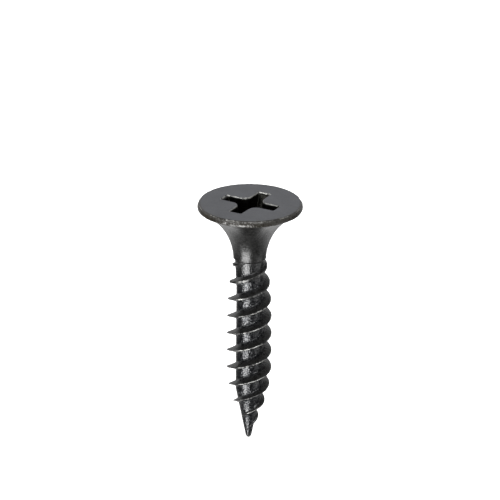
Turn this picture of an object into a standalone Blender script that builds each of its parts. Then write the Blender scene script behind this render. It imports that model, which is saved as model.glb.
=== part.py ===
"""Bugle-head screw with a twin-start thread, a needle point and a cross recess.

The screw is one piece of steel wire: the head is forged on it and the thread is rolled into it.
It stands on the Z axis with its point down. The origin is the centre of the head's top face, the
plane that ends up flush with the board, so every depth below is measured down from there.
Lengths are in metres and angles in degrees.
"""

import math

import bmesh
import bpy

MM = 0.001

# Whole screw
LENGTH = 19.45 * MM
SHANK_DIAMETER = 2.52 * MM

# Head: a flat face, a rolled top edge, a short upright land, a small lower edge, then the bugle
HEAD_DIAMETER = 8.1 * MM
TOP_EDGE_WIDTH = 0.14 * MM
TOP_EDGE_DROP = 0.33 * MM
LAND_HEIGHT = 0.075 * MM
LOWER_EDGE_RADIUS = 0.07 * MM
BUGLE_DEPTH = 4.73 * MM

# Neck, the step and short taper from the shank to the rolled core
NECK_DEPTH = 4.5 * MM
NECK_STEP_WIDTH = 0.11 * MM
NECK_STEP_HEIGHT = 0.12 * MM
NECK_LENGTH = 2.4 * MM

# Thread
THREAD_DIAMETER = 3.45 * MM
CORE_DIAMETER = 2.04 * MM
STARTS = 2
CREST_SPACING = 1.411 * MM
THREAD_START_DEPTH = 4.3 * MM
THREAD_START_ANGLE = 133.0
RUNOUT_LENGTH = 8.0 * MM
RUNOUT_POWER = 4
UPPER_FLANK_ANGLE = 26.0
LOWER_FLANK_ANGLE = 19.0
CREST_WIDTH = 0.03 * MM

# Point
POINT_LENGTH = 4.1 * MM
POINT_NOSE_RADIUS = 0.18 * MM
CREST_TAPER_LENGTH = 5.9 * MM
CREST_TAPER_POWER = 1.7
THREAD_END_GAPS = (1.65 * MM, 0.45 * MM)

# Cross recess for a number 2 driver
RECESS_SPAN = 4.66 * MM
RECESS_FLOOR_SPAN = 2.29 * MM
RECESS_WING_WIDTH = 1.05 * MM
RECESS_FLOOR_WING_WIDTH = 0.72 * MM
RECESS_CORNER_RADIUS = 0.7 * MM
RECESS_FLOOR_CORNER_RADIUS = 0.4 * MM
RECESS_WING_TAPER = 26.5
RECESS_FLOOR_SLOPE = 28.0

# How finely round shapes are divided
TURNED_STEPS = 48
SECTIONS_PER_TURN = 48
ROUND_POINTS = 4
BUGLE_POINTS = 12
CORNER_POINTS = 5
SHARP_ANGLE = 25.0

# Overlaps that only the Boolean operations need
RECESS_CUTTER_RISE = 0.3 * MM
ROOT_SINK = 0.35
MERGE_DISTANCE = 0.0001 * MM

SCREW_NAME = "screw"
LEAD = STARTS * CREST_SPACING
HEAD_RADIUS = HEAD_DIAMETER / 2
HEAD_EDGE_HEIGHT = TOP_EDGE_DROP + LAND_HEIGHT + LOWER_EDGE_RADIUS
SHANK_RADIUS = SHANK_DIAMETER / 2
NECK_RADIUS = SHANK_RADIUS - NECK_STEP_WIDTH
CORE_RADIUS = CORE_DIAMETER / 2
THREAD_RADIUS = THREAD_DIAMETER / 2


def clear_scene():
    """Remove every object that the file opened with."""
    for obj in list(bpy.data.objects):
        bpy.data.objects.remove(obj, do_unlink=True)


def new_collection(name):
    """Return a new collection under the scene's own."""
    collection = bpy.data.collections.new(name)
    bpy.context.scene.collection.children.link(collection)
    return collection


def phosphated_steel():
    """Return the dull black phosphate finish of the whole screw."""
    material = bpy.data.materials.new("black_phosphate")
    material.use_nodes = True
    shader = material.node_tree.nodes["Principled BSDF"]
    shader.inputs["Base Color"].default_value = (0.045, 0.047, 0.049, 1.0)
    shader.inputs["Metallic"].default_value = 0.7
    shader.inputs["Roughness"].default_value = 0.48
    return material


def arc(centre_radius, centre_depth, radius, start, end, steps):
    """Return (radius, depth) points on an arc. Angles start at the outward direction and turn down."""
    points = []
    for i in range(steps + 1):
        angle = math.radians(start + (end - start) * i / steps)
        points.append(
            (
                centre_radius + radius * math.cos(angle),
                centre_depth + radius * math.sin(angle),
            )
        )
    return points


def top_edge_arc():
    """Return the rolled top edge of the head, from its flat face out to its full diameter."""
    radius = (TOP_EDGE_WIDTH**2 + TOP_EDGE_DROP**2) / (2 * TOP_EDGE_WIDTH)
    start = -math.degrees(math.asin(TOP_EDGE_DROP / radius))
    return arc(HEAD_RADIUS - radius, TOP_EDGE_DROP, radius, start, 0, ROUND_POINTS)


def bugle_arc():
    """Return the hollow underside of the head, an arc that runs out along the shank.

    It would lie straight along the shank at BUGLE_DEPTH, and it stops at the neck if that is higher.
    """
    rise = HEAD_RADIUS - LOWER_EDGE_RADIUS - SHANK_RADIUS
    drop = BUGLE_DEPTH - HEAD_EDGE_HEIGHT
    radius = (rise**2 + drop**2) / (2 * rise)
    start = 180 + math.degrees(math.asin(drop / radius))
    end = 180 + math.degrees(math.asin(max(BUGLE_DEPTH - NECK_DEPTH, 0.0) / radius))
    return arc(SHANK_RADIUS + radius, BUGLE_DEPTH, radius, start, end, BUGLE_POINTS)


def turned_profile():
    """Return the (radius, depth) outline of the screw without its thread, from the top to the tip."""
    low, nose = LOWER_EDGE_RADIUS, POINT_NOSE_RADIUS
    cone_slope = math.atan2(CORE_RADIUS - nose, POINT_LENGTH)
    lower_edge = arc(HEAD_RADIUS - low, HEAD_EDGE_HEIGHT - low, low, 0, 90, ROUND_POINTS)
    profile = [(0.0, 0.0)] + top_edge_arc() + lower_edge[:-1] + bugle_arc()
    if NECK_DEPTH > BUGLE_DEPTH:
        profile.append((SHANK_RADIUS, NECK_DEPTH))
    profile += [
        (NECK_RADIUS, NECK_DEPTH + NECK_STEP_HEIGHT),
        (CORE_RADIUS, NECK_DEPTH + NECK_LENGTH),
        (CORE_RADIUS, LENGTH - POINT_LENGTH),
    ]
    profile += arc(0.0, LENGTH - nose, nose, math.degrees(cone_slope), 90, ROUND_POINTS)
    profile[-1] = (0.0, LENGTH)
    return profile


def turned_blank(collection):
    """Return the head, shank, core and point as one shape turned about the Z axis."""
    mesh = bpy.data.meshes.new(SCREW_NAME)
    profile = turned_profile()
    vertices = [(radius, 0.0, -depth) for radius, depth in profile]
    edges = [(i, i + 1) for i in range(len(profile) - 1)]
    mesh.from_pydata(vertices, edges, [])
    blank = bpy.data.objects.new(SCREW_NAME, mesh)
    collection.objects.link(blank)
    turn = blank.modifiers.new("turn", "SCREW")
    turn.axis = "Z"
    turn.steps = TURNED_STEPS
    turn.render_steps = TURNED_STEPS
    turn.use_merge_vertices = True
    turn.merge_threshold = MERGE_DISTANCE
    turn.use_smooth_shade = True
    return blank


def core_radius(depth):
    """Return the radius of the rolled core, which is also the root of the thread, at a depth."""
    neck_share = (depth - NECK_DEPTH) / NECK_LENGTH
    point_share = (depth - (LENGTH - POINT_LENGTH)) / POINT_LENGTH
    if neck_share < 1:
        return CORE_RADIUS + (NECK_RADIUS - CORE_RADIUS) * (1 - max(neck_share, 0.0))
    return CORE_RADIUS - (CORE_RADIUS - POINT_NOSE_RADIUS) * max(point_share, 0.0)


def crest_radius(depth, end_gap):
    """Return the radius that the thread's crest reaches at a depth.

    It rises from the shank along the run-out, and on the point it follows a curved taper that
    fades into the core at end_gap above the tip.
    """
    run_in = min(max((depth - THREAD_START_DEPTH) / RUNOUT_LENGTH, 0.0), 1.0)
    full = NECK_RADIUS + (THREAD_RADIUS - NECK_RADIUS) * (1 - (1 - run_in) ** RUNOUT_POWER)
    left = LENGTH - depth
    taper = 1 - max(1 - left / CREST_TAPER_LENGTH, 0.0) ** CREST_TAPER_POWER
    height = min(full, THREAD_RADIUS * taper) - core_radius(depth)
    fade = min(max((left - end_gap) / CREST_SPACING, 0.0), 1.0)
    return core_radius(depth) + height * math.sin(fade * math.pi / 2)


def thread_section(depth, end_gap):
    """Return the (radius, depth) corners of the thread's section, the upper root first."""
    core = core_radius(depth)
    crest = max(crest_radius(depth, end_gap), core)
    root = core * (1 - ROOT_SINK)
    upper = CREST_WIDTH / 2 + (crest - root) * math.tan(math.radians(UPPER_FLANK_ANGLE))
    lower = CREST_WIDTH / 2 + (crest - root) * math.tan(math.radians(LOWER_FLANK_ANGLE))
    return [
        (root, depth - upper),
        (crest, depth - CREST_WIDTH / 2),
        (crest, depth + CREST_WIDTH / 2),
        (root, depth + lower),
    ]


def thread_ridge(start, collection):
    """Return one start's ridge, a loft of sections that change height along a right-hand helix."""
    end_gap = THREAD_END_GAPS[start]
    first, last = THREAD_START_DEPTH, LENGTH - end_gap
    count = math.ceil((last - first) / LEAD * SECTIONS_PER_TURN)
    start_angle = math.radians(THREAD_START_ANGLE) + 2 * math.pi * start / STARTS
    mesh = bmesh.new()
    rings = []
    for i in range(count + 1):
        depth = first + i * LEAD / SECTIONS_PER_TURN
        angle = start_angle - i * 2 * math.pi / SECTIONS_PER_TURN
        rings.append(
            [
                mesh.verts.new((r * math.cos(angle), r * math.sin(angle), -d))
                for r, d in thread_section(depth, end_gap)
            ]
        )
    for ring, following in zip(rings, rings[1:]):
        for corner, vertex in enumerate(ring):
            beside = (corner + 1) % len(ring)
            mesh.faces.new((vertex, ring[beside], following[beside], following[corner]))
    mesh.faces.new(rings[0])
    mesh.faces.new(rings[-1])
    bmesh.ops.recalc_face_normals(mesh, faces=mesh.faces)
    return helper_object(mesh, f"thread_start_{start + 1}", collection)


def cross_outline(span, width, corner_radius):
    """Return the outline of a four-winged cross, with hollow rounds between its wings."""
    reach, half = span / 2, width / 2
    centre = half + corner_radius
    quarter = [(reach, -half), (reach, half)]
    for i in range(CORNER_POINTS + 1):
        angle = math.radians(270 - 90 * i / CORNER_POINTS)
        quarter.append(
            (centre + corner_radius * math.cos(angle), centre + corner_radius * math.sin(angle))
        )
    outline = []
    for turn in range(4):
        cos, sin = math.cos(turn * math.pi / 2), math.sin(turn * math.pi / 2)
        outline += [(x * cos - y * sin, x * sin + y * cos) for x, y in quarter]
    return outline


def recess_cutter(collection):
    """Return the tapered cross that the driver's tip fits, with a shallow cone under it."""
    slope = math.tan(math.radians(RECESS_WING_TAPER))
    wall_depth = (RECESS_SPAN - RECESS_FLOOR_SPAN) / 2 / slope
    above = RECESS_CUTTER_RISE / wall_depth
    mouth = cross_outline(
        RECESS_SPAN + (RECESS_SPAN - RECESS_FLOOR_SPAN) * above,
        RECESS_WING_WIDTH + (RECESS_WING_WIDTH - RECESS_FLOOR_WING_WIDTH) * above,
        RECESS_CORNER_RADIUS,
    )
    floor = cross_outline(RECESS_FLOOR_SPAN, RECESS_FLOOR_WING_WIDTH, RECESS_FLOOR_CORNER_RADIUS)
    mesh = bmesh.new()
    lid = mesh.faces.new([mesh.verts.new((x, y, RECESS_CUTTER_RISE)) for x, y in mouth])
    extruded = bmesh.ops.extrude_face_region(mesh, geom=[lid])["geom"]
    base = next(item for item in extruded if isinstance(item, bmesh.types.BMFace))
    for vertex, (x, y) in zip(base.verts, floor):
        vertex.co = (x, y, -wall_depth)
    apex = bmesh.ops.poke(mesh, faces=[base])["verts"][0]
    apex.co.z -= RECESS_FLOOR_SPAN / 2 * math.tan(math.radians(RECESS_FLOOR_SLOPE))
    bmesh.ops.recalc_face_normals(mesh, faces=mesh.faces)
    return helper_object(mesh, "recess_cutter", collection)


def helper_object(mesh, name, collection):
    """Turn a bmesh into an object that shapes the screw but isn't a part of its own."""
    data = bpy.data.meshes.new(name)
    mesh.to_mesh(data)
    mesh.free()
    helper = bpy.data.objects.new(name, data)
    helper.hide_render = True
    helper.display_type = "WIRE"
    collection.objects.link(helper)
    return helper


def add_boolean(obj, other, operation):
    """Join other to obj, or cut it away, with a Boolean modifier."""
    modifier = obj.modifiers.new(f"{operation.lower()}_{other.name}", "BOOLEAN")
    modifier.operation = operation
    modifier.solver = "EXACT"
    modifier.object = other


def apply_modifiers(obj):
    """Make the modifiers' result the object's own mesh, shaded smooth between its sharp edges."""
    evaluated = obj.evaluated_get(bpy.context.evaluated_depsgraph_get())
    mesh = bpy.data.meshes.new_from_object(evaluated)
    obj.modifiers.clear()
    obj.data = mesh
    mesh.name = obj.name
    mesh.shade_smooth()
    mesh.set_sharp_from_angle(angle=math.radians(SHARP_ANGLE))


def build_screw():
    """Model the screw as one closed solid."""
    parts = new_collection("drywall_screw")
    helpers = new_collection("cutters")
    screw = turned_blank(parts)
    screw.data.materials.append(phosphated_steel())
    for start in range(STARTS):
        add_boolean(screw, thread_ridge(start, helpers), "UNION")
    add_boolean(screw, recess_cutter(helpers), "DIFFERENCE")
    apply_modifiers(screw)


clear_scene()
build_screw()
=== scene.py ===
"""Visible model of a black bugle-head wood screw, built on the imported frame.

The real screw is one piece of steel wire, so the visible model is one closed piece too. Each of its
regions is a class that adds its own surface to one shared bmesh: the head, the cross recess in it,
and the rolled thread with the neck and the point. Neighbouring regions end on the same ring of
columns, so they close into one skin when the doubles are merged. Lengths inside the classes are in
millimetres, depths are measured down from the head's top face, and the finished mesh is scaled to
metres.
"""

import logging
import math
from dataclasses import dataclass, field
from enum import Enum

import bmesh
import bpy
from mathutils import Matrix, Quaternion, Vector, noise

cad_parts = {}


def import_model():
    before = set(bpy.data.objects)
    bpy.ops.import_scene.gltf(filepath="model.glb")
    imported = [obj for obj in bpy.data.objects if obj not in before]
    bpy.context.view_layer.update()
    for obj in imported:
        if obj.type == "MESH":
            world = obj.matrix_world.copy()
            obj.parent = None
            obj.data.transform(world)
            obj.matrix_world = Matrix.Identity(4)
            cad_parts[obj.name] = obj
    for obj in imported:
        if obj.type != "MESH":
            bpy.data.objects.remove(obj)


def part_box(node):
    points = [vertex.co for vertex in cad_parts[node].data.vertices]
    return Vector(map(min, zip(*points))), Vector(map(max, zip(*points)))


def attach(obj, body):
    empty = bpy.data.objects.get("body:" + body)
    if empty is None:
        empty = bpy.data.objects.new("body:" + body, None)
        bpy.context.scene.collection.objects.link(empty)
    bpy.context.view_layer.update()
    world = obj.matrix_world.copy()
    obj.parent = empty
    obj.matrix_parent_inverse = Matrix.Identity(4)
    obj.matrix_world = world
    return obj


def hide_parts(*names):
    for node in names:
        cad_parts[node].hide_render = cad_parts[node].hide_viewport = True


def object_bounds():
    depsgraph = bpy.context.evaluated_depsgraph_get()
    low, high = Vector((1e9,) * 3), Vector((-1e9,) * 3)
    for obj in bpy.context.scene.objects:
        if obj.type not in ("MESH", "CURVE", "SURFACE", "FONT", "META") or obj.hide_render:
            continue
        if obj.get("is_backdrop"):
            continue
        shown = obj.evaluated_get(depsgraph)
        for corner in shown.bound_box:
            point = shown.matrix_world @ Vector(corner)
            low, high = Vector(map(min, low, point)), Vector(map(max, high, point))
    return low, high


LOG = logging.getLogger("wood_screw")

MM = 0.001
COLUMNS = 192
MERGE = 0.0002
TURN = 2.0 * math.pi

Socket = bpy.types.NodeSocket
Tone = tuple[float, float, float]
Value = Socket | Tone | Vector | float


class Start(Enum):
    """The two starts of the thread, each with the gap in mm that its end leaves above the tip."""

    FIRST = 1.65
    SECOND = 0.45


class Mask(Enum):
    """The vertex attributes that tell the finish where it is on the screw."""

    WEAR = "wear"
    FACE = "face"
    RIM = "rim"
    ROOT = "root"
    # Where painted shade darkens the inside of the recess.
    RECESS_SHADE = "hollow"


class Band(Enum):
    """The kinds of row that the recess has, from the head's face to its floor."""

    FACE = "face"
    LIP = "lip"
    WALL = "wall"
    FLOOR = "floor"


class Grain(Enum):
    """The unevennesses of the coat, each with its swells in a metre and its detail."""

    CLOUD = (650.0, 4.0)
    MOTTLE = (3200.0, 5.0)
    PITS = (8500.0, 0.0)
    GRAIN = (15000.0, 3.0)
    FINE = (42000.0, 2.0)


@dataclass
class Spot:
    """One vertex of a region: its place in mm and the masks that it carries."""

    place: Vector
    masks: dict[Mask, float] = field(default_factory=dict)


def blend(low: float, high: float, share: float) -> float:
    """Return the value at a share of the way from low to high."""
    return low + (high - low) * share


def ease(edge: float, full: float, value: float) -> float:
    """Return a smooth step.

    Args:
        edge: Value at which the step is still 0.
        full: Value at which the step has reached 1.
        value: Value to look up.

    Returns:
        A number from 0 to 1.
    """
    share = min(max((value - edge) / (full - edge), 0.0), 1.0)
    return share * share * (3.0 - 2.0 * share)


def soft_max(one: float, other: float, rounding: float) -> float:
    """Return the larger of two heights, with a fillet where they cross.

    Args:
        one: First height.
        other: Second height.
        rounding: Difference of the heights within which the fillet works.

    Returns:
        The blended height.
    """
    share = min(max(0.5 + 0.5 * (one - other) / rounding, 0.0), 1.0)
    return blend(other, one, share) + rounding * share * (1.0 - share)


def ripple(place: Vector, wavelength: float, seed: float = 0.0) -> float:
    """Return an even, repeatable unevenness from -1 to 1.

    Args:
        place: Point in mm.
        wavelength: Length of one swell in mm.
        seed: Shift that makes this unevenness differ from the others.

    Returns:
        The unevenness at the point.
    """
    return noise.noise(place / wavelength + Vector((seed, 3.1 * seed, -1.7 * seed)))


@dataclass
class Region:
    """A part of the screw's skin, made by spinning a line of rows about the Z axis and shaping it.

    Attributes:
        skin: The bmesh that all regions share.
    """

    skin: bmesh.types.BMesh

    def spun_rows(self, rows: int, rise: float = 0.0) -> list[tuple[bmesh.types.BMVert, int, float]]:
        """Spin a vertical line of rows into a tube, or into a helical band.

        Args:
            rows: Number of rows, one unit apart.
            rise: Rows that the line climbs in one turn. A helical band joins itself there.

        Returns:
            Each new vertex with its row, counted downwards, and its angle in radians.
        """
        before = set(self.skin.verts)
        line = [self.skin.verts.new((1.0, 0.0, -float(row))) for row in range(rows)]
        edges = [self.skin.edges.new(pair) for pair in zip(line, line[1:])]
        turns = {"cent": (0.0, 0.0, 0.0), "axis": (0.0, 0.0, 1.0), "use_merge": False}
        bmesh.ops.spin(
            self.skin,
            geom=line + edges,
            dvec=(0.0, 0.0, rise / COLUMNS),
            angle=TURN / 8.0,
            steps=COLUMNS // 8,
            **turns,
        )
        made = [vert for vert in self.skin.verts if vert not in before]
        joins = dict.fromkeys(join for vert in made for join in (*vert.link_edges, *vert.link_faces))
        bmesh.ops.spin(
            self.skin,
            geom=[*made, *joins],
            dvec=(0.0, 0.0, rise / 8.0),
            angle=TURN * 7.0 / 8.0,
            steps=7,
            use_duplicate=True,
            **turns,
        )
        made = [vert for vert in self.skin.verts if vert not in before]
        bmesh.ops.remove_doubles(self.skin, verts=made, dist=0.004)
        rows_made = []
        for vert in self.skin.verts:
            if vert in before:
                continue
            column = round(math.atan2(vert.co.y, vert.co.x) / TURN * COLUMNS) % COLUMNS
            angle = column * TURN / COLUMNS
            row = round(-vert.co.z + rise * column / COLUMNS)
            rows_made.append((vert, row, angle))
        return rows_made

    def set_spot(self, vert: bmesh.types.BMVert, spot: Spot) -> None:
        """Move a vertex to its spot and write its masks.

        Args:
            vert: The vertex.
            spot: Where it goes and what it carries.
        """
        vert.co = spot.place
        for mask in Mask:
            layer = self.skin.verts.layers.float[mask.value]
            vert[layer] = spot.masks.get(mask, 0.0)


@dataclass
class BugleHead(Region):
    """The forged head: flat face, rolled top edge, land, small lower edge and bugle underside.

    Attributes:
        radius: Radius of the land.
        face_inner: Radius at which the face hands over to the recess.
        edge_width: Width of the rolled top edge, seen from above.
        edge_drop: Height of the rolled top edge.
        land: Height of the upright band under it.
        lower_edge: Radius of the edge under the land.
        bugle_depth: Depth at which the underside would lie straight along the shank.
        shank: Radius of the shank.
        hand_over: Depth at which the shank hands over to the thread region.
        dents: Unevenness of the rim in mm.
    """

    radius: float = 4.05
    face_inner: float = 2.72
    edge_width: float = 0.14
    edge_drop: float = 0.33
    land: float = 0.075
    lower_edge: float = 0.07
    bugle_depth: float = 4.73
    shank: float = 1.26
    hand_over: float = 4.0
    dents: float = 0.026

    def bugle_radius(self, depth: float) -> float:
        """Return the radius of the underside and of the shank.

        Args:
            depth: Depth in mm.

        Returns:
            The radius in mm.
        """
        rise = self.radius - self.lower_edge - self.shank
        drop = self.bugle_depth - self.edge_height
        sweep = (rise**2 + drop**2) / (2.0 * rise)
        left = max(self.bugle_depth - depth, 0.0)
        return self.shank + sweep - math.sqrt(sweep**2 - left**2)

    @property
    def edge_height(self) -> float:
        """Return the height of the rim, from the face to the bugle."""
        return self.edge_drop + self.land + self.lower_edge

    def profile(self) -> list[tuple[float, float]]:
        """List the rows from the recess outwards and down to the thread region.

        Returns:
            The radius and the depth of each.
        """
        rows = [(r, 0.0) for r in (self.face_inner, 3.0, 3.3, 3.55, 3.75, 3.86)]
        roll = (self.edge_width**2 + self.edge_drop**2) / (2.0 * self.edge_width)
        start = math.asin(self.edge_drop / roll)
        for step in range(10):
            angle = start * (1.0 - step / 9.0)
            radius = self.radius - roll * (1.0 - math.cos(angle))
            rows.append((radius, self.edge_drop - roll * math.sin(angle)))
        rows += [(self.radius, self.edge_drop + self.land * share) for share in (0.5, 1.0)]
        for step in range(1, 6):
            angle = math.pi / 2.0 * step / 5.0
            radius = self.radius - self.lower_edge * (1.0 - math.cos(angle))
            rows.append((radius, self.edge_height - self.lower_edge * (1.0 - math.sin(angle))))
        steps = 34
        for step in range(1, steps + 1):
            share = (step / steps) ** 1.35
            depth = blend(self.edge_height, self.hand_over, share)
            rows.append((self.bugle_radius(depth), depth))
        return rows

    def spot(self, radius: float, depth: float, angle: float) -> Spot:
        """Return the place and masks of one point of the head.

        Args:
            radius: Radius of the row in mm.
            depth: Depth of the row in mm.
            angle: Angle of the column in radians.

        Returns:
            The spot, with the rim's dents in it.
        """
        out = Vector((math.cos(angle), math.sin(angle), 0.0))
        place = out * radius - Vector((0.0, 0.0, depth))
        rim = ease(3.80, 3.95, radius) * (1.0 - ease(self.edge_height - 0.02, 0.62, depth))
        knock = 0.6 * ripple(place, 0.75) + 0.4 * ripple(place, 0.23, 4.0)
        knock -= 1.1 * ease(0.28, 0.55, ripple(place, 0.42, 9.0))
        radius += rim * self.dents * knock
        depth += rim * self.dents * 0.8 * ripple(place, 0.35, 12.0) * ease(3.90, 3.99, radius)
        streak = ripple(Vector((math.cos(angle), math.sin(angle), depth * 0.05)) * 1.2, 0.11, 6.0)
        under = ease(self.edge_height, 0.9, depth) * (1.0 - ease(3.5, self.hand_over, depth))
        radius += under * 0.004 * streak
        top_edge = ease(0.055, 0.0, abs(depth - 0.045)) * ease(3.86, 3.93, radius)
        low_edge = ease(0.055, 0.0, abs(depth - (self.edge_height - 0.04))) * ease(3.8, 3.95, radius)
        rubbed = 0.70 + 0.8 * ripple(place, 1.3, 17.0)
        return Spot(
            out * radius - Vector((0.0, 0.0, max(depth, 0.0))),
            {
                Mask.WEAR: max(0.92 * top_edge, 0.64 * low_edge) * rubbed,
                Mask.FACE: 1.0 - ease(3.86, 3.95, radius) if depth < 0.2 else 0.0,
                Mask.RIM: rim,
            },
        )

    def build(self) -> None:
        """Spin the head's rows and shape them."""
        profile = self.profile()
        for vert, row, angle in self.spun_rows(len(profile)):
            self.set_spot(vert, self.spot(*profile[row], angle))


@dataclass
class CrossRecess(Region):
    """The tapered cross that the driver's tip fits, from the head's face down to its floor.

    Attributes:
        face_radius: Radius at which the recess region meets the head's face.
        span: Width over two wings at the mouth.
        floor_span: Width over two wings at the foot of the walls.
        wing: Width of a wing at the mouth.
        floor_wing: Width of a wing at the foot of the walls.
        corner: Radius of the hollow rounds between the wings at the mouth.
        floor_corner: The same at the foot of the walls.
        tip_round: Radius at the outer corners of a wing.
        taper: Angle in degrees of a wing's end from the upright.
        floor_slope: Slope in degrees of the shallow cone in the middle.
    """

    face_radius: float = 2.72
    span: float = 4.66
    floor_span: float = 2.29
    wing: float = 1.05
    floor_wing: float = 0.72
    corner: float = 0.7
    floor_corner: float = 0.4
    tip_round: float = 0.09
    taper: float = 26.5
    floor_slope: float = 28.0

    END_POINTS = 5
    TIP_POINTS = 3
    SIDE_POINTS = 7

    @property
    def wall_depth(self) -> float:
        """Return the depth of the walls' foot."""
        return (self.span - self.floor_span) / 2.0 / math.tan(math.radians(self.taper))

    def outline(self, column: int, share: float, margin: float) -> Vector:
        """Return a point on the cross at one level.

        Args:
            column: Column of the skin, from 0 at the middle of the wing on +X.
            share: 0 at the mouth and 1 at the foot of the walls.
            margin: Distance in mm that the outline stands back into the head's face.

        Returns:
            The point, with Z left at 0.
        """
        per_octant = COLUMNS // 8
        quarter, within = divmod(column, 2 * per_octant)
        mirrored = within > per_octant
        step = 2 * per_octant - within if mirrored else within
        reach = blend(self.span, self.floor_span, share) / 2.0 + margin
        half = blend(self.wing, self.floor_wing, share) / 2.0 + margin
        hollow = max(blend(self.corner, self.floor_corner, share) - margin, 0.05)
        centre = half + hollow
        tip = self.tip_round
        ends = self.END_POINTS
        tips = ends + self.TIP_POINTS
        sides = tips + self.SIDE_POINTS
        if step <= ends:
            point = Vector((reach, (half - tip) * step / ends, 0.0))
        elif step <= tips:
            angle = math.pi / 2.0 * (step - ends) / self.TIP_POINTS
            point = Vector((reach - tip + tip * math.cos(angle), half - tip + tip * math.sin(angle), 0.0))
        elif step <= sides:
            along = (step - tips) / self.SIDE_POINTS
            point = Vector((blend(reach - tip, min(centre, reach - tip), along), half, 0.0))
        else:
            turned = (step - sides) / (per_octant - sides)
            angle = math.radians(270.0 - 45.0 * turned)
            point = Vector((centre + hollow * math.cos(angle), centre + hollow * math.sin(angle), 0.0))
        if mirrored:
            point = Vector((point.y, point.x, 0.0))
        return Matrix.Rotation(quarter * math.pi / 2.0, 3, "Z") @ point

    def levels(self) -> list[tuple[Band, float, float]]:
        """List the rows from the face to the middle of the floor.

        Returns:
            Each row's kind, its share of the way or a lip's margin, and a lip's height.
        """
        rows = [(Band.FACE, share, 0.0) for share in (0.0, 0.25, 0.5, 0.72, 0.88, 1.0)]
        rows += [(Band.LIP, 0.085, 0.004), (Band.LIP, 0.058, 0.006), (Band.LIP, 0.034, -0.006)]
        rows += [(Band.LIP, 0.016, -0.026), (Band.LIP, 0.004, -0.054), (Band.LIP, 0.0, -0.085)]
        rows += [(Band.WALL, share, 0.0) for share in (0.05, 0.09, 0.14, 0.2, 0.27, 0.35, 0.43)]
        rows += [(Band.WALL, share, 0.0) for share in (0.51, 0.59, 0.67, 0.75, 0.82, 0.88, 0.93, 0.97)]
        rows += [(Band.FLOOR, share, 0.0) for share in (0.97, 0.9, 0.78, 0.62, 0.42, 0.2, 0.0)]
        return rows

    def spot(self, band: Band, share: float, amount: float, column: int) -> Spot:
        """Return the place and masks of one point of the recess.

        Args:
            band: Kind of the row.
            share: Share of the way along that kind of row, or the lip's margin.
            amount: Height of a lip row in mm.
            column: Column of the skin.

        Returns:
            The spot.
        """
        column %= COLUMNS
        angle = column * TURN / COLUMNS
        if band is Band.FACE:
            edge = self.outline(column, 0.0, 0.11)
            edge_angle = math.atan2(edge.y, edge.x) % TURN
            if column == 0:
                edge_angle = 0.0
            turned = blend(angle, edge_angle, ease(0.0, 1.0, share))
            radius = blend(self.face_radius, edge.length, share)
            place = Vector((radius * math.cos(turned), radius * math.sin(turned), 0.0))
            return Spot(place, {Mask.FACE: 1.0})
        if band is Band.LIP:
            place = self.outline(column, 0.0, share)
            rough = ripple(place, 0.3, 2.0)
            knock = 0.012 * ripple(place, 0.16, 7.0) * ease(-0.09, 0.0, amount)
            place *= 1.0 + knock / place.length
            place.z = min(amount + 0.006 * rough, 0.0) - 0.0005
            wear = ease(0.075, 0.02, share) * min(0.88 + 0.6 * ripple(place, 0.3, 23.0), 1.0)
            return Spot(place, {Mask.WEAR: wear, Mask.FACE: ease(-0.03, 0.0, amount)})
        if band is Band.WALL:
            place = self.outline(column, share, 0.0)
            press = 0.010 * ripple(place + Vector((0.0, 0.0, 2.0 * share)), 0.35, 3.0)
            place *= 1.0 + press / place.length
            place.z = -self.wall_depth * share
            # Painted shade: the walls below the lips carry the recess's shade mask.
            masks = {Mask.RECESS_SHADE: ease(0.0, 0.07, share), Mask.WEAR: 0.30 * ease(0.06, 0.0, share)}
            return Spot(place, masks)
        place = self.outline(column, 1.0, 0.0) * share
        slope = math.tan(math.radians(self.floor_slope))
        place.z = -self.wall_depth - self.floor_span / 2.0 * (1.0 - share) * slope
        # Painted shade over the whole floor of the recess.
        return Spot(place, {Mask.RECESS_SHADE: 1.0})

    def build(self) -> None:
        """Spin the recess's rows and shape them."""
        levels = self.levels()
        for vert, row, angle in self.spun_rows(len(levels)):
            column = round(angle / TURN * COLUMNS)
            self.set_spot(vert, self.spot(*levels[row], column))


@dataclass
class Ridge:
    """What one thread ridge does at a point beside it.

    Attributes:
        radius: Radius of the ridge's own outline there.
        height: Full height of the ridge over the core.
        wear: Wear of the crest there, from 0 to 1.
        foot: 1 at the ridge's foot and beyond it, and 0 from half of its height up.
    """

    radius: float
    height: float
    wear: float
    foot: float


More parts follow.
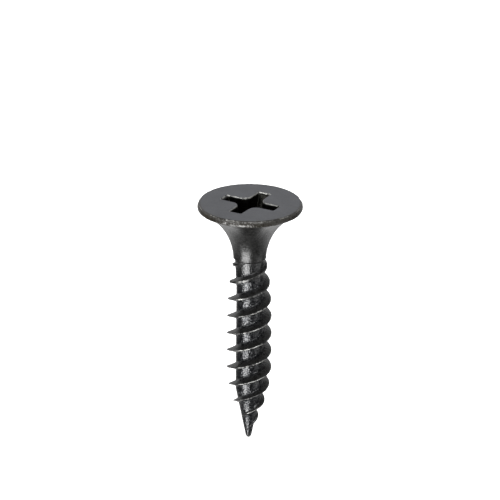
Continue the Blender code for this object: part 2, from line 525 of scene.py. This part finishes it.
@dataclass
class RolledThread(Region):
    """The lower shank, the neck, the two thread starts on their core, and the point.

    Attributes:
        head: The head, which gives the shank's radius above the neck.
        length: Length of the whole screw.
        crest: Radius over the crests.
        core: Radius of the rolled core.
        neck: Radius just under the shank.
        neck_depth: Depth of the step from the shank to the neck.
        neck_step: Height of that step.
        neck_length: Length over which the neck tapers to the core.
        pitch: Distance between neighbouring crests. The lead is two of them.
        start_depth: Depth at which the first start leaves the shank.
        start_angle: Angle of that place in degrees.
        run_in: Length over which the crest rises to its full height.
        upper_flank: Angle in degrees of the flank that faces the head, from the level plane.
        lower_flank: The same for the flank that faces the point.
        crest_half: Half of the crest's width.
        forming: Length over which the dies close the crest.
        open_half: Half width that a crest has besides, where the dies haven't closed it at all.
        open_valley: Depth of the valley in the middle of such a crest.
        open_shoulder: Drop at the outside of its two lips.
        fillet: Rounding at the thread's root.
        point_length: Length of the core's cone.
        nose: Radius of the tip.
        crest_taper: Length over which the crest comes down on the point.
        cuts: Depths of the level rings that the neck and the tip need.
    """

    head: BugleHead = field(kw_only=True)
    length: float = 19.45
    crest: float = 1.725
    core: float = 1.02
    neck: float = 1.15
    neck_depth: float = 4.5
    neck_step: float = 0.12
    neck_length: float = 2.4
    pitch: float = 1.411
    start_depth: float = 4.3
    start_angle: float = 133.0
    run_in: float = 8.0
    upper_flank: float = 26.0
    lower_flank: float = 19.0
    crest_half: float = 0.015
    forming: float = 5.2
    open_half: float = 0.10
    open_valley: float = 0.060
    open_shoulder: float = 0.040
    fillet: float = 0.10
    point_length: float = 4.1
    nose: float = 0.18
    crest_taper: float = 5.9
    cuts: tuple[float, ...] = (
        4.40, 4.455, 4.48, 4.50, 4.525, 4.55, 4.58, 4.61, 4.64, 4.70, 19.29, 19.34, 19.38, 19.41, 19.435
    )

    FLANK_SHARES = (0.84, 0.62, 0.40, 0.20, 0.06)
    LIP_SHARE = 0.6
    ROOT_ROWS = 6
    LEAST_HEIGHT = 0.001

    @property
    def lead(self) -> float:
        """Return the travel of one start in one turn."""
        return 2.0 * self.pitch

    @property
    def rows_per_pitch(self) -> int:
        """Return the rows from one crest to the next."""
        return 2 * len(self.FLANK_SHARES) + self.ROOT_ROWS + 9

    def core_radius(self, depth: float) -> float:
        """Return the radius of the screw without its thread.

        Args:
            depth: Depth in mm.

        Returns:
            The radius in mm.
        """
        if depth <= self.neck_depth + self.neck_step:
            shank = self.head.bugle_radius(depth)
            lip = 0.010 * ease(0.10, 0.0, abs(depth - (self.neck_depth - 0.03)))
            fall = ease(self.neck_depth - 0.02, self.neck_depth + self.neck_step, depth)
            return blend(shank + lip, self.neck, fall)
        neck_share = (depth - self.neck_depth) / self.neck_length
        if neck_share < 1.0:
            return blend(self.neck, self.core, neck_share)
        cone = max((depth - (self.length - self.point_length)) / self.point_length, 0.0)
        radius = self.core - (self.core - self.nose) * cone
        left = self.length - depth
        if left < self.nose:
            ball = math.sqrt(max(self.nose**2 - (self.nose - left) ** 2, 0.0))
            radius = min(radius, ball)
        return radius

    def crest_radius(self, depth: float, start: Start) -> float:
        """Return the radius that a start's crest reaches at a depth.

        Args:
            depth: Depth of the crest in mm.
            start: Which of the two starts it is.

        Returns:
            The radius in mm, which is the core's where the start has no height.
        """
        if depth <= self.start_depth:
            return 0.0
        run = min((depth - self.start_depth) / self.run_in, 1.0)
        full = blend(self.neck, self.crest, 1.0 - (1.0 - run) ** 4)
        left = self.length - depth
        taper = 1.0 - max(1.0 - left / self.crest_taper, 0.0) ** 1.7
        core = self.core_radius(max(depth, self.neck_depth + self.neck_step))
        height = min(full, self.crest * taper) - core
        fade = min(max((left - start.value) / self.pitch, 0.0), 1.0)
        return core + height * math.sin(fade * math.pi / 2.0)

    def formed(self, depth: float) -> float:
        """Return how far the dies have closed the crest at a depth, from 0 to 1."""
        return ease(self.start_depth, self.start_depth + self.forming, depth)

    def crest_depth(self, index: int, angle: float) -> float:
        """Return the depth of the crest with this index at an angle."""
        first = self.start_depth + math.radians(self.start_angle) / TURN * self.lead
        return first + index * self.pitch - self.lead * angle / TURN

    def start_of(self, index: int) -> Start:
        """Return the start that a crest index belongs to."""
        return Start.FIRST if index % 2 == 0 else Start.SECOND

    def half_width(self, depth: float) -> float:
        """Return half of the crest's width at a depth."""
        return self.crest_half + self.open_half * (1.0 - self.formed(depth))

    def reach(self, index: int, angle: float, flank: float) -> tuple[float, float]:
        """Return the half width of a crest and the width of one of its flanks.

        Args:
            index: Index of the crest.
            angle: Angle of the column in radians.
            flank: Angle of the flank in degrees.

        Returns:
            The half width of the crest and the width of the flank beyond it, in mm.
        """
        depth = self.crest_depth(index, angle)
        height = self.crest_radius(depth, self.start_of(index)) - self.core_radius(depth)
        return self.half_width(depth), max(height * math.tan(math.radians(flank)), 0.06)

    def row_depth(self, row: int, angle: float) -> float:
        """Return the depth of a row of the helical band at an angle.

        Args:
            row: Row of the band, counted downwards from the first crest.
            angle: Angle of the column in radians.

        Returns:
            The depth in mm.
        """
        index, role = divmod(row, self.rows_per_pitch)
        index -= 1
        top = self.crest_depth(index, angle)
        foot = self.crest_depth(index + 1, angle)
        flanks = len(self.FLANK_SHARES)
        half, width = self.reach(index, angle, self.lower_flank)
        next_half, next_width = self.reach(index + 1, angle, self.upper_flank)
        base = top + half + width
        next_base = foot - next_half - next_width
        if role == 0:
            return top
        if role == 1:
            return top + half * self.LIP_SHARE
        if role == 2:
            return top + half
        if role < 3 + flanks:
            return top + half + width * (1.0 - self.FLANK_SHARES[role - 3])
        if role == 3 + flanks:
            return base
        root_first = 4 + flanks
        root_last = root_first + self.ROOT_ROWS + 1
        if role <= root_last:
            share = (role - root_first) / (root_last - root_first)
            return blend(base + 0.035, next_base - 0.035, share)
        back = self.rows_per_pitch - role
        if back > flanks + 2:
            return next_base
        if back == 1:
            return foot - next_half * self.LIP_SHARE
        if back == 2:
            return foot - next_half
        return foot - next_half - next_width * (1.0 - self.FLANK_SHARES[back - 3])

    def ridge(self, index: int, depth: float, angle: float) -> Ridge:
        """Return what one thread ridge does at a point beside it.

        Args:
            index: Index of the ridge's crest.
            depth: Depth of the point in mm.
            angle: Angle of the point in radians.

        Returns:
            The ridge there, with no height where its start hasn't begun or has run out.
        """
        crest_depth = self.crest_depth(index, angle)
        crest = self.crest_radius(crest_depth, self.start_of(index))
        height = crest - self.core_radius(crest_depth)
        out = Vector((math.cos(angle), math.sin(angle), 0.0))
        mark = out * crest - Vector((0.0, 0.0, crest_depth))
        waves = 0.030 * ripple(mark, 0.9, 5.0) + 0.022 * ripple(mark, 0.28, 8.0)
        crest += min(height, 0.4) * waves
        away = depth - crest_depth
        half = self.half_width(crest_depth)
        flank = self.lower_flank if away > 0.0 else self.upper_flank
        across, raw = abs(away) / half, 1.0 - self.formed(crest_depth)
        radius = crest - max(abs(away) - half, 0.0) / math.tan(math.radians(flank))
        closeness = ease(half + 0.016, half, abs(away)) * ease(0.08, 0.3, height)
        if across > 0.8:
            radius -= self.open_shoulder * raw
            closeness *= 1.0 - raw
        elif across < 0.3:
            radius += blend(0.004, -self.open_valley, raw)
            closeness *= 1.0 - raw
        patchy = 0.74 + 0.6 * ripple(mark, 0.6, 20.0) + 0.6 * ripple(mark, 0.17, 21.0)
        foot = 1.0 - ease(0.0, 0.5, (radius - self.core_radius(depth)) / max(height, 0.05))
        return Ridge(radius, height, closeness * min(max(patchy, 0.0), 1.0), foot)

    def spot(self, depth: float, angle: float) -> Spot:
        """Return the place and masks of one point of the threaded part.

        Args:
            depth: Depth of the point in mm.
            angle: Angle of the point in radians.

        Returns:
            The spot.
        """
        out = Vector((math.cos(angle), math.sin(angle), 0.0))
        radius, wear, root = self.core_radius(depth), 0.0, 1.0
        nearest = math.floor((depth - self.crest_depth(0, angle)) / self.pitch)
        for index in (nearest, nearest + 1):
            ridge = self.ridge(index, depth, angle)
            if ridge.height <= self.LEAST_HEIGHT:
                continue
            radius = soft_max(radius, ridge.radius, min(self.fillet, max(ridge.height, 0.02)))
            wear = max(wear, ridge.wear)
            root = min(root, ridge.foot)
        place = out * radius - Vector((0.0, 0.0, depth))
        below = ease(self.neck_depth, self.neck_depth + 0.3, depth)
        tip = min(max((self.length - depth) / 0.3, 0.0), 1.0)
        press = 0.004 * ripple(place, 0.6, 1.0) + 0.004 * ripple(place, 0.17, 11.0)
        radius += press * below * tip * root
        step_edge = ease(0.05, 0.0, abs(depth - self.neck_depth)) * (0.5 + 0.5 * ripple(place, 0.4, 14.0))
        nose = 0.55 * ease(1.3, 0.1, self.length - depth)
        return Spot(
            out * radius - Vector((0.0, 0.0, depth)),
            {
                Mask.WEAR: max(wear, 0.5 * step_edge, nose),
                # The root mask also places painted shade at the ridges' feet, through the dark pits.
                Mask.ROOT: root * below * blend(0.4, 1.0, ease(5.5, 6.2, depth)),
            },
        )

    def build(self) -> None:
        """Spin the helical band, cut the level rings in it and shape it."""
        pitches = math.ceil((self.length - self.head.hand_over) / self.pitch) + 4
        rows = pitches * self.rows_per_pitch + 1
        band = self.spun_rows(rows, 2.0 * self.rows_per_pitch)
        verts = []
        for vert, row, angle in band:
            depth = min(max(self.row_depth(row, angle), self.head.hand_over), self.length)
            radius = 0.0 if depth >= self.length else 1.0
            vert.co = (radius * math.cos(angle), radius * math.sin(angle), -depth)
            verts.append(vert)
        bmesh.ops.remove_doubles(self.skin, verts=verts, dist=MERGE)
        for depth in self.cuts:
            faces = [face for face in self.skin.faces if abs(face.verts[0].co.z + depth) < 0.6]
            joins = dict.fromkeys(join for face in faces for join in (*face.verts, *face.edges))
            bmesh.ops.bisect_plane(
                self.skin,
                geom=[*joins, *faces],
                dist=MERGE,
                plane_co=(0.0, 0.0, -depth),
                plane_no=(0.0, 0.0, 1.0),
            )
        for vert in self.skin.verts:
            depth = -vert.co.z
            if depth >= self.length - MERGE:
                self.set_spot(vert, Spot(Vector((0.0, 0.0, -self.length)), {Mask.WEAR: 0.5}))
            else:
                angle = math.atan2(vert.co.y, vert.co.x) % TURN
                self.set_spot(vert, self.spot(depth, angle))


@dataclass
class NodeBoard:
    """A node tree with short calls for the nodes that the finishes use.

    Attributes:
        tree: The node tree of one material or world.
    """

    tree: bpy.types.NodeTree

    def add(self, kind: str) -> bpy.types.Node:
        """Return a new node of this kind."""
        return self.tree.nodes.new(kind)

    def feed(self, node: bpy.types.Node, inputs: dict[str | int, Value]) -> None:
        """Link sockets to a node's inputs, or write numbers and colours in them.

        Args:
            node: The node.
            inputs: What each input takes, by its name or number.
        """
        for slot, value in inputs.items():
            if isinstance(value, Socket):
                self.tree.links.new(value, node.inputs[slot])
            elif isinstance(value, tuple):
                node.inputs[slot].default_value = (*value, 1.0)
            else:
                node.inputs[slot].default_value = value

    def fed(self, kind: str, inputs: dict[str | int, Value], operation: str = "") -> bpy.types.Node:
        """Return a new node with its inputs fed.

        Args:
            kind: Type of the node.
            inputs: What each input takes, by its name or number.
            operation: What the node does, where its type leaves that open.

        Returns:
            The node.
        """
        node = self.add(kind)
        if operation:
            node.operation = operation
        self.feed(node, inputs)
        return node

    def math(self, operation: str, one: Value, other: Value) -> Socket:
        """Return the result of a Math node on two values."""
        return self.fed("ShaderNodeMath", {0: one, 1: other}, operation).outputs[0]

    def scale(self, value: Socket, factor: float) -> Socket:
        """Return a value times a number."""
        return self.math("MULTIPLY", value, factor)

    def add_up(self, one: Socket, other: Socket) -> Socket:
        """Return the sum of two values."""
        return self.math("ADD", one, other)

    def remap(self, value: Socket, low: float, high: float, to_low: float, to_high: float) -> Socket:
        """Return a value moved from one range to another, held inside it."""
        ranges = {"From Min": low, "From Max": high, "To Min": to_low, "To Max": to_high}
        return self.fed("ShaderNodeMapRange", {"Value": value, **ranges}).outputs["Result"]

    def mix_colour(self, share: Value, one: Value, other: Value) -> Socket:
        """Return a colour between two colours.

        Args:
            share: Share of the way from one to the other.
            one: First colour.
            other: Second colour.

        Returns:
            The colour.
        """
        node = self.add("ShaderNodeMix")
        node.data_type = "RGBA"
        self.feed(node, {0: share, 6: one, 7: other})
        return node.outputs[2]

    def mix_value(self, share: Value, one: Value, other: Value) -> Socket:
        """Return a number between two numbers."""
        return self.fed("ShaderNodeMix", {0: share, 2: one, 3: other}).outputs[0]

    def tint(self, colour: Socket, factor: Socket) -> Socket:
        """Return a colour times a value."""
        return self.fed("ShaderNodeVectorMath", {0: colour, "Scale": factor}, "SCALE").outputs[0]

    def mask(self, mask: Mask) -> Socket:
        """Return the value of one of the screw's masks.

        Args:
            mask: Which of them.

        Returns:
            The value, from 0 to 1.
        """
        node = self.add("ShaderNodeAttribute")
        node.attribute_name = mask.value
        return node.outputs["Fac"]

    def noise(self, place: Socket, scale: float, detail: float) -> Socket:
        """Return a noise of this many swells in a metre."""
        inputs = {"Vector": place, "Scale": scale, "Detail": detail, "Roughness": 0.6}
        return self.fed("ShaderNodeTexNoise", inputs).outputs["Fac"]

    def specks(self, place: Socket, scale: float) -> Socket:
        """Return a mask of a few small bright specks, one cell in many.

        Args:
            place: Where the mask is looked up.
            scale: Cells in a metre.

        Returns:
            The mask.
        """
        cells = self.fed("ShaderNodeTexVoronoi", {"Vector": place, "Scale": scale})
        near = self.remap(cells.outputs["Distance"], 0.10, 0.02, 0.0, 1.0)
        split = self.fed("ShaderNodeSeparateColor", {0: cells.outputs["Color"]})
        chosen = self.remap(split.outputs[0], 0.965, 0.975, 0.0, 0.75)
        return self.math("MULTIPLY", near, chosen)


@dataclass(frozen=True)
class BlackPhosphate:
    """Dull black phosphate with an oily sheen on forged and rolled steel, worn to steel on edges.

    Attributes:
        face_tone_and_painted_top_light: Tone of the head's face, its own bluish grey raised by painted
            light from above.
        rim_colour: Tone of the rim, which is rubbed a little brown.
        body_colour: Tone of the shank and the thread.
        root_colour: Tone of the core between the crests.
        recess_shade_colour: Painted shade inside the recess, a near-black tone that, as full metal, throws
            back almost no light.
        steel_colour: Bare steel where the coat is worn away.
        metallic: Metallic share of the coat.
        roughness: Roughness of the coat.
        face_roughness: Roughness of the coat on the head's face.
        bare_roughness: Roughness of the bare steel.
        relief_strength: Strength of the coat's unevenness.
        relief_depth: Height in metres that the unevenness stands for.
    """

    # The face's tone is lighter by painted light from above, in place of a stronger top lamp.
    face_tone_and_painted_top_light: Tone = (0.044, 0.046, 0.052)
    rim_colour: Tone = (0.012, 0.0105, 0.008)
    body_colour: Tone = (0.006, 0.006, 0.0057)
    root_colour: Tone = (0.009, 0.0095, 0.0105)
    # Near-black painted shade for the inside of the recess.
    recess_shade_colour: Tone = (0.008, 0.008, 0.007)
    steel_colour: Tone = (0.28, 0.28, 0.268)
    metallic: float = 0.10
    roughness: float = 0.31
    face_roughness: float = 0.50
    bare_roughness: float = 0.42
    relief_strength: float = 0.30
    relief_depth: float = 0.00004

    def build(self) -> bpy.types.Material:
        """Make the material.

        Returns:
            The material, which reads object coordinates and the masks.
        """
        material = bpy.data.materials.new("black_phosphate")
        material.use_nodes = True
        nodes = CoatNodes(material.node_tree, self)
        looks = {
            "Base Color": nodes.colour(),
            "Roughness": nodes.gloss(),
            "Metallic": nodes.metal(),
            "Normal": nodes.relief(),
            "Specular IOR Level": 0.5,
        }
        nodes.feed(material.node_tree.nodes["Principled BSDF"], looks)
        return material


@dataclass
class CoatNodes(NodeBoard):
    """The nodes of the coat.

    Attributes:
        finish: The finish whose tones and numbers they take.
    """

    finish: BlackPhosphate

    def __post_init__(self) -> None:
        """Lay out what every step reads: the place, the masks, the unevennesses and the bare steel."""
        self.place = self.add("ShaderNodeTexCoord").outputs["Object"]
        self.masks = {mask: self.mask(mask) for mask in Mask}
        self.grains = {grain: self.noise(self.place, *grain.value) for grain in Grain}
        self.bare = self.bare_steel()

    def blend_grains(self, one: Grain, share: float, other: Grain, other_share: float) -> Socket:
        """Return the sum of two unevennesses, each at its own share."""
        return self.add_up(self.scale(self.grains[one], share), self.scale(self.grains[other], other_share))

    def bare_steel(self) -> Socket:
        """Find where the steel is bare.

        Returns:
            The mask, on worn edges and in a few specks.
        """
        uneven = self.blend_grains(Grain.MOTTLE, 1.0, Grain.GRAIN, 1.0)
        level = self.add_up(self.masks[Mask.WEAR], self.remap(uneven, 0.6, 1.4, -0.1, 0.9))
        worn = self.remap(level, 0.98, 1.30, 0.0, 1.0)
        return self.math("MAXIMUM", worn, self.specks(self.place, 1900.0))

    def colour(self) -> Socket:
        """Lay the coat's tones over each other, patchy as phosphate is.

        Returns:
            The colour.
        """
        tones = self.finish
        colour = self.mix_colour(self.masks[Mask.ROOT], tones.body_colour, tones.root_colour)
        # The head's face takes its bluish tone together with painted light from above.
        colour = self.mix_colour(self.masks[Mask.FACE], colour, tones.face_tone_and_painted_top_light)
        colour = self.mix_colour(self.masks[Mask.RIM], colour, tones.rim_colour)
        # Painted shade inside the recess.
        colour = self.mix_colour(self.masks[Mask.RECESS_SHADE], colour, tones.recess_shade_colour)
        patches = self.blend_grains(Grain.CLOUD, 0.55, Grain.MOTTLE, 0.9)
        colour = self.tint(colour, self.remap(patches, 0.45, 1.0, 0.62, 1.45))
        return self.mix_colour(self.bare, colour, tones.steel_colour)

    def gloss(self) -> Socket:
        """Make the face dull, and what the dies pressed smoother.

        Returns:
            The roughness.
        """
        uneven = self.blend_grains(Grain.MOTTLE, 0.7, Grain.GRAIN, 0.3)
        ends = (self.finish.roughness, self.finish.face_roughness)
        level = self.remap(self.masks[Mask.FACE], 0.0, 1.0, *ends)
        rough = self.math("ADD", self.remap(uneven, 0.3, 0.7, -0.10, 0.12), level)
        rough = self.math("SUBTRACT", rough, self.scale(self.masks[Mask.ROOT], 0.09))
        return self.mix_value(self.bare, rough, self.finish.bare_roughness)

    def metal(self) -> Socket:
        """Make dark pits, thickest at the ridges' feet as painted shade there, and the recess's painted
        shade full and dark metal, which throws back least.

        Returns:
            The metallic share.
        """
        smooth = self.math("MAXIMUM", self.masks[Mask.FACE], self.masks[Mask.RIM])
        # Random dark pits over the body, thickening on the core and the lower flanks as painted shade at
        # the ridges' feet.
        pits_and_foot_shade = self.remap(self.math("SUBTRACT", self.masks[Mask.ROOT], smooth), -0.6, 0.8, 0.0, 0.72)
        pits_and_foot_shade = self.math("MULTIPLY", self.remap(self.grains[Grain.PITS], 0.55, 0.43, 0.0, 1.0), pits_and_foot_shade)
        dark = self.math("MAXIMUM", self.masks[Mask.RECESS_SHADE], pits_and_foot_shade)
        return self.mix_value(self.bare, self.mix_value(dark, self.finish.metallic, 1.0), 0.95)

    def relief(self) -> Socket:
        """Raise the coat's unevenness, coarsest on the core and the rim.

        Returns:
            The normal.
        """
        height = self.blend_grains(Grain.MOTTLE, 0.7, Grain.GRAIN, 0.30)
        height = self.add_up(height, self.scale(self.grains[Grain.FINE], 0.08))
        coarse = self.add_up(self.scale(self.masks[Mask.ROOT], 1.9), self.scale(self.masks[Mask.RIM], 1.6))
        coarse = self.add_up(coarse, self.remap(self.masks[Mask.FACE], 0.0, 1.0, 0.9, 0.15))
        height = self.add_up(height, self.math("MULTIPLY", self.grains[Grain.PITS], coarse))
        sizes = {"Strength": self.finish.relief_strength, "Distance": self.finish.relief_depth}
        return self.fed("ShaderNodeBump", {"Height": height, **sizes}).outputs["Normal"]


@dataclass
class WoodScrew:
    """The whole screw, one closed piece.

    Attributes:
        finish: The coat of the screw.
        name: Name of the piece.
    """

    finish: BlackPhosphate = field(default_factory=BlackPhosphate)
    name: str = "screw_body"

    def build(self) -> bpy.types.Object:
        """Build the regions into one skin and dress it.

        Returns:
            The screw's object, in metres, in the frame's own place.
        """
        skin = bmesh.new()
        for mask in Mask:
            skin.verts.layers.float.new(mask.value)
        head = BugleHead(skin)
        RolledThread(skin, head=head).build()
        LOG.info("thread: %d faces", len(skin.faces))
        head.build()
        CrossRecess(skin).build()
        bmesh.ops.remove_doubles(skin, verts=skin.verts, dist=MERGE)
        bmesh.ops.dissolve_degenerate(skin, edges=skin.edges, dist=MERGE / 4.0)
        bmesh.ops.triangulate(skin, faces=skin.faces)
        bmesh.ops.recalc_face_normals(skin, faces=skin.faces)
        bmesh.ops.scale(skin, vec=(MM, MM, MM), verts=skin.verts)
        open_edges = sum(1 for edge in skin.edges if len(edge.link_faces) != 2)
        LOG.info("%s: %d triangles, %d open edges", self.name, len(skin.faces), open_edges)
        mesh = bpy.data.meshes.new(self.name)
        skin.to_mesh(mesh)
        skin.free()
        mesh.shade_smooth()
        mesh.materials.append(self.finish.build())
        screw = bpy.data.objects.new(self.name, mesh)
        bpy.context.scene.collection.objects.link(screw)
        return screw


@dataclass(frozen=True)
class Lamp:
    """One soft rectangular light.

    Attributes:
        name: Name of the light.
        turn: Degrees round from the camera, to the right of it.
        rise: Degrees above the level plane.
        size: Width and height in metres.
        power: Power in watts.
        reach: Distance from the screw in metres.
    """

    name: str
    turn: float
    rise: float
    size: tuple[float, float]
    power: float
    reach: float = 0.9


@dataclass
class Studio:
    """The pale floor, the soft lights and the camera.

    Attributes:
        floor_height: Height of the floor in metres, at the screw's tip.
        azimuth: Angle of the camera round the screw in degrees.
        elevation: Angle of the camera above the level plane in degrees.
        roll: Tilt of the camera about its own line of sight in degrees.
        distance: Distance from the camera to the screw in metres.
        frame_width: Width in metres that the picture shows at the screw.
        centre: Place in the picture of the middle of the head's face, as shares of its width
            from the middle, to the right and down.
        floor_glow: Light that the floor gives by itself, as a lit table does.
        dim_glow: Light from the surroundings where nothing bright stands.
        table_glow: Light from steeply below, on the far side of the screw.
        rear_glow: Light from just below the horizon, straight behind the screw.
        horizon_glow: Light from the horizon and well above it, all round.
        zenith_drop: What is taken off that light overhead.
        lamps: The soft lights.
    """

    floor_height: float
    azimuth: float = 29.5
    elevation: float = 22.0
    roll: float = 0.4
    distance: float = 1.0
    frame_width: float = 0.0383
    centre: tuple[float, float] = (-0.0004, -0.0948)
    floor_glow: float = 0.72
    dim_glow: float = 0.05
    table_glow: float = 1.1
    rear_glow: float = 0.7
    horizon_glow: float = 0.90
    zenith_drop: float = 0.88
    lamps: tuple[Lamp, ...] = (
        Lamp("top_light", 20.0, 78.0, (1.6, 1.6), 4.0, reach=1.2),
        Lamp("front_light", 8.0, 52.0, (0.5, 0.15), 6.0),
        Lamp("side_light", -28.0, -31.0, (0.70, 0.54), 21.5),
        Lamp("edge_light", -52.0, 28.0, (0.22, 0.45), 3.0),
        Lamp("fill_light", 70.0, -24.0, (0.8, 0.3), 1.6),
    )

    def direction(self, turn: float, rise: float) -> Vector:
        """Return the unit vector to a place round the screw.

        Args:
            turn: Degrees round from the camera, to the right of it.
            rise: Degrees above the level plane.

        Returns:
            The unit vector.
        """
        angle, lift = math.radians(self.azimuth + turn), math.radians(rise)
        return Vector((math.sin(angle) * math.cos(lift), -math.cos(angle) * math.cos(lift), math.sin(lift)))

    def floor(self) -> bpy.types.Object:
        """Build the pale floor.

        Returns:
            The floor's object.
        """
        sheet = bmesh.new()
        bmesh.ops.create_grid(sheet, x_segments=1, y_segments=1, size=1.5)
        bmesh.ops.translate(sheet, vec=(0.0, 0.0, self.floor_height), verts=sheet.verts)
        mesh = bpy.data.meshes.new("floor")
        sheet.to_mesh(mesh)
        sheet.free()
        material = bpy.data.materials.new("pale_floor")
        material.use_nodes = True
        looks = {
            "Base Color": (0.92, 0.92, 0.92),
            "Roughness": 0.9,
            "Specular IOR Level": 0.1,
            "Emission Color": (1.0, 1.0, 1.0),
            "Emission Strength": self.floor_glow,
        }
        NodeBoard(material.node_tree).feed(material.node_tree.nodes["Principled BSDF"], looks)
        mesh.materials.append(material)
        floor = bpy.data.objects.new("floor", mesh)
        floor.visible_glossy = False
        floor.visible_diffuse = False
        floor.visible_shadow = False
        bpy.context.scene.collection.objects.link(floor)
        floor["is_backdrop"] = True
        return floor

    def hang(self, lamp: Lamp) -> None:
        """Hang one lamp, turned to the middle of the screw.

        Args:
            lamp: The lamp.
        """
        light = bpy.data.lights.new(lamp.name, "AREA")
        light.shape = "RECTANGLE"
        light.size, light.size_y = lamp.size
        light.energy = lamp.power
        hung = bpy.data.objects.new(lamp.name, light)
        towards = self.direction(lamp.turn, lamp.rise)
        middle = Vector((0.0, 0.0, self.floor_height / 2.0))
        hung.location = middle + towards * lamp.reach
        hung.rotation_euler = towards.to_track_quat("Z", "Y").to_euler()
        hung.visible_camera = False
        bpy.context.scene.collection.objects.link(hung)

    def world(self) -> None:
        """Make the surroundings: dim for the light they give, white where they are seen."""
        world = bpy.data.worlds.new("surroundings")
        world.use_nodes = True
        board = NodeBoard(world.node_tree)
        path = board.add("ShaderNodeLightPath")
        sight = board.add("ShaderNodeTexCoord").outputs["Generated"]
        split = board.fed("ShaderNodeSeparateXYZ", {0: sight})
        away = {0: sight, 1: -self.direction(0.0, 0.0)}
        away = board.fed("ShaderNodeVectorMath", away, "DOT_PRODUCT").outputs["Value"]
        height = split.outputs["Z"]
        table = board.remap(away, -0.2, 0.6, self.dim_glow, self.table_glow)
        low = board.remap(height, -0.48, -0.67, 0.0, 1.0)
        rear = board.remap(away, 0.5, 0.9, 0.0, self.rear_glow)
        rear = board.math("MULTIPLY", rear, board.remap(height, -0.02, -0.14, 0.0, 1.0))
        below = board.math("MAXIMUM", board.math("MULTIPLY", low, table), rear)
        below = board.math("ADD", below, self.dim_glow)
        band = board.remap(height, -0.05, 0.15, 0.0, self.horizon_glow)
        upper = board.remap(height, 0.55, 0.80, 0.0, self.zenith_drop)
        lit = board.add_up(below, board.math("SUBTRACT", band, upper))
        seen = board.mix_value(path.outputs["Is Camera Ray"], lit, 1.0)
        board.feed(world.node_tree.nodes["Background"], {"Strength": seen, "Color": (1.0, 1.0, 1.0)})
        bpy.context.scene.world = world

    def camera(self) -> None:
        """Place the long-lens camera."""
        data = bpy.data.cameras.new("camera")
        data.sensor_width = 36.0
        data.lens = 36.0 * self.distance / self.frame_width
        data.clip_start, data.clip_end = 0.01, 20.0
        camera = bpy.data.objects.new("camera", data)
        towards = self.direction(0.0, self.elevation)
        angle = math.radians(self.azimuth)
        right = Vector((math.cos(angle), math.sin(angle), 0.0))
        up = towards.cross(right)
        across, down = self.centre
        aim = (up * down - right * across) * self.frame_width
        camera.location = aim + towards * self.distance
        camera.rotation_mode = "QUATERNION"
        tilt = Quaternion(towards, math.radians(self.roll))
        camera.rotation_quaternion = tilt @ towards.to_track_quat("Z", "Y")
        bpy.context.scene.collection.objects.link(camera)
        bpy.context.scene.camera = camera

    def build(self) -> None:
        """Build the floor, the lights, the surroundings and the camera."""
        self.floor()
        for lamp in self.lamps:
            self.hang(lamp)
        self.world()
        self.camera()
        bpy.context.scene.view_settings.view_transform = "Standard"


def main() -> None:
    """Load the frame, build the screw on it and set the studio round it."""
    logging.basicConfig(level=logging.INFO, format="%(name)s: %(message)s")
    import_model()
    cad_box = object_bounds()
    screw = WoodScrew().build()
    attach(screw, "root")
    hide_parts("screw")
    lowest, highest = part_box("screw")
    LOG.info("frame node: %s to %s", lowest, highest)
    Studio(floor_height=cad_box[0].z).build()


if __name__ == "__main__":
    main()
